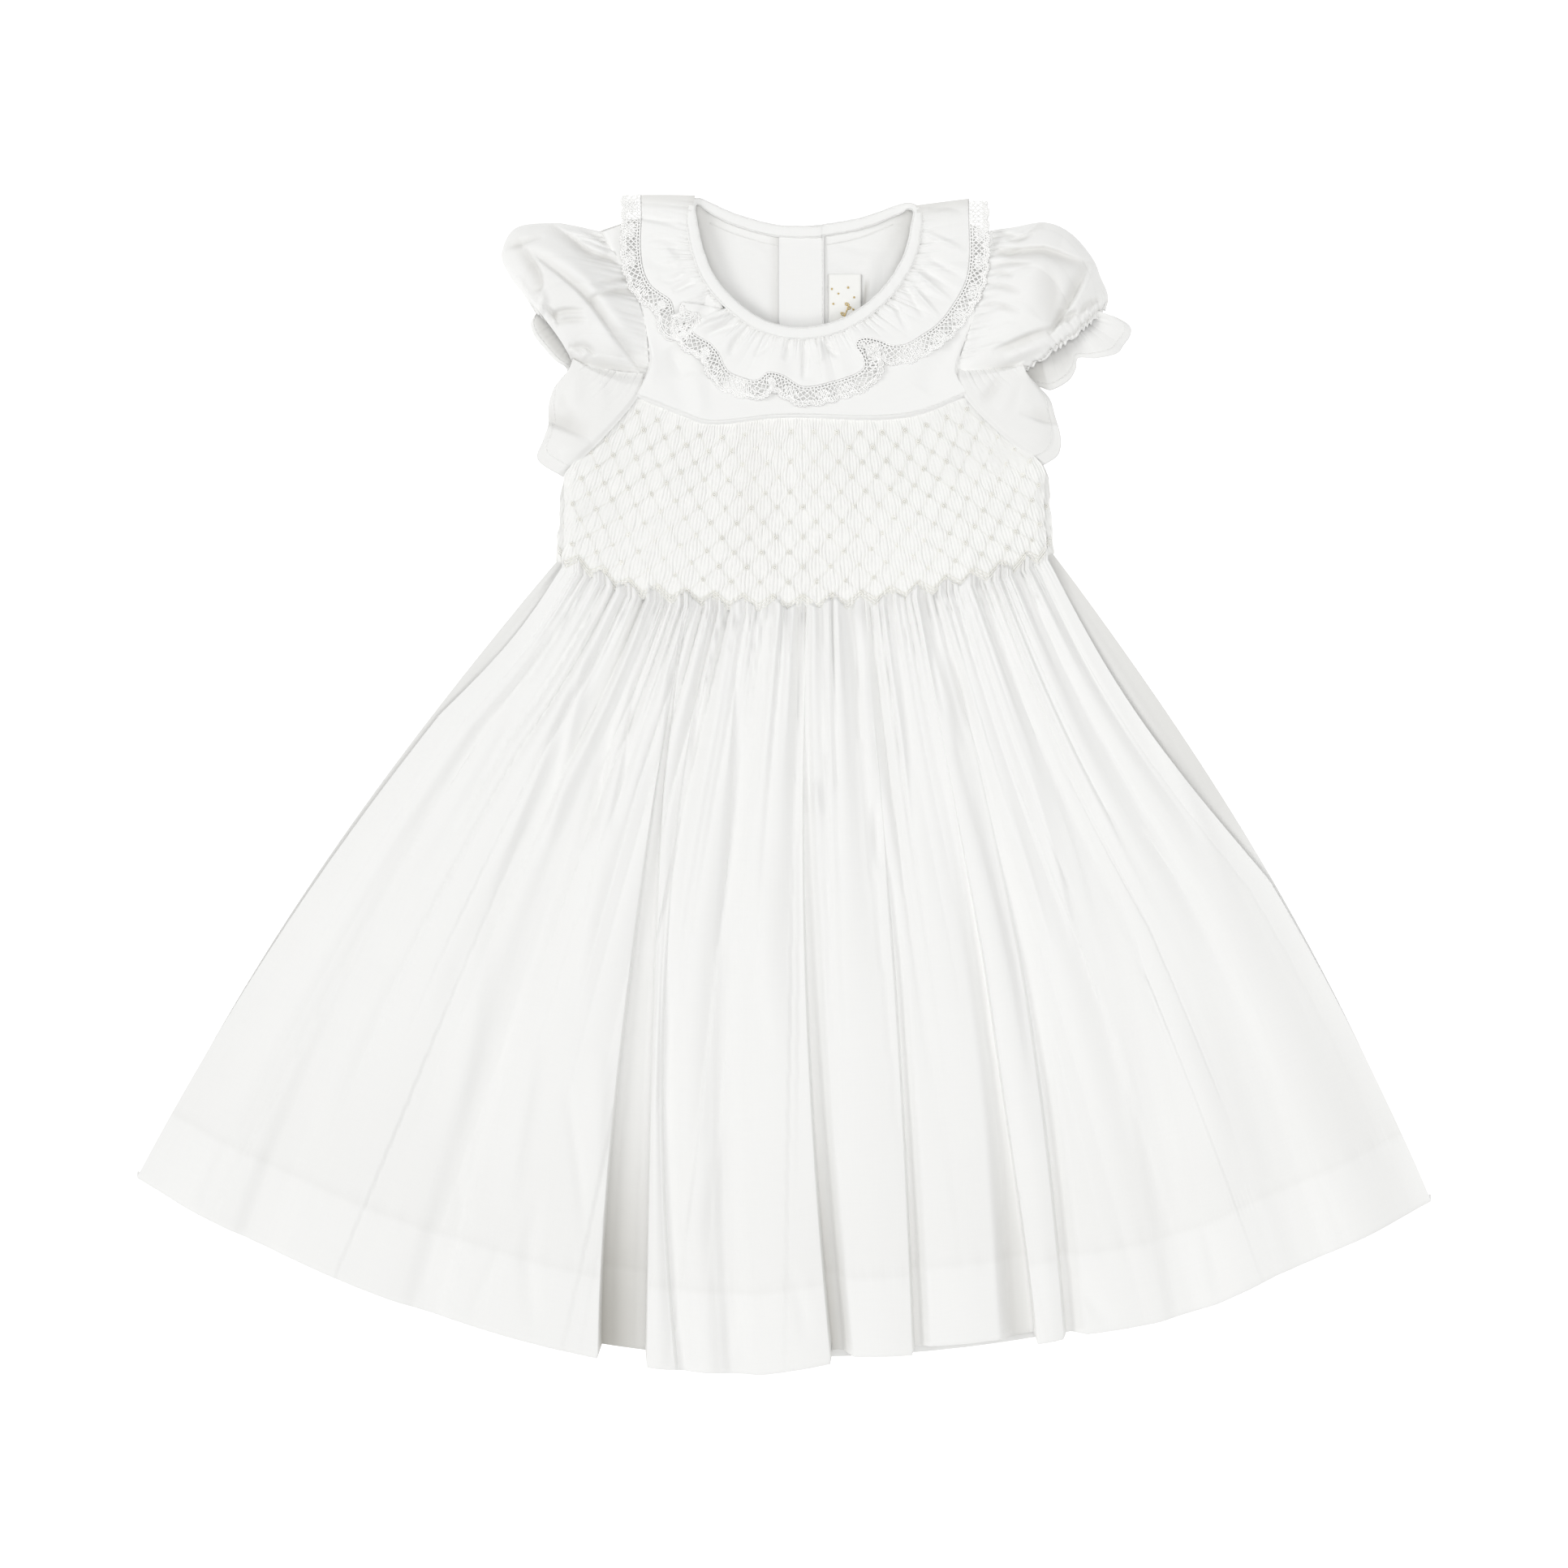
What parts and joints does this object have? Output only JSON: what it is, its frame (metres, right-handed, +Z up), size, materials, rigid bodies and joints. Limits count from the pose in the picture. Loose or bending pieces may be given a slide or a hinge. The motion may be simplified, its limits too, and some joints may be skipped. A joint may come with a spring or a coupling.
{
  "type": "toddler dress",
  "caption": "Toddler's white cotton dress laid flat, with a smocked bodice, gathered skirt, puff sleeves and a gathered lace-edged collar.",
  "frame": {"origin": "on the surface it lies on, under the middle of the dress's outline", "axes": "+X across the skirt, to the right of someone looking down on the front; +Y from the hem towards the neck; +Z up from the surface"},
  "size_m": [0.5572, 0.5061, 0.0187],
  "materials": {
    "white_lawn": "fine matt cotton lawn, lightly pressed",
    "smocked_lawn": "cotton lawn in fine pleats, with cream smocking thread",
    "cotton_lace": "matt cotton bobbin lace",
    "woven_label": "smooth woven satin tape",
    "shell_button": "polished, pearly"
  },
  "bodies": {
    "root": {"yoke_front": "white_lawn", "yoke_back_left": "white_lawn", "yoke_back_right": "white_lawn", "placket_under": "white_lawn", "placket_over": "white_lawn", "skirt_front": "white_lawn", "skirt_back": "white_lawn", "sleeve_left": "white_lawn", "sleeve_right": "white_lawn", "frill_front_left": "white_lawn", "frill_front_right": "white_lawn", "frill_back_left": "white_lawn", "frill_back_right": "white_lawn", "neck_binding": "white_lawn", "collar_ruffle": "white_lawn", "collar_ruffle_back_left": "white_lawn", "collar_ruffle_back_right": "white_lawn", "smocking_front": "smocked_lawn", "smocking_back": "smocked_lawn", "collar_lace": "cotton_lace", "collar_lace_back_left": "cotton_lace", "collar_lace_back_right": "cotton_lace", "neck_label": "woven_label", "button_1": "shell_button", "button_2": "shell_button", "button_3": "shell_button"}
  },
  "joints": []
}
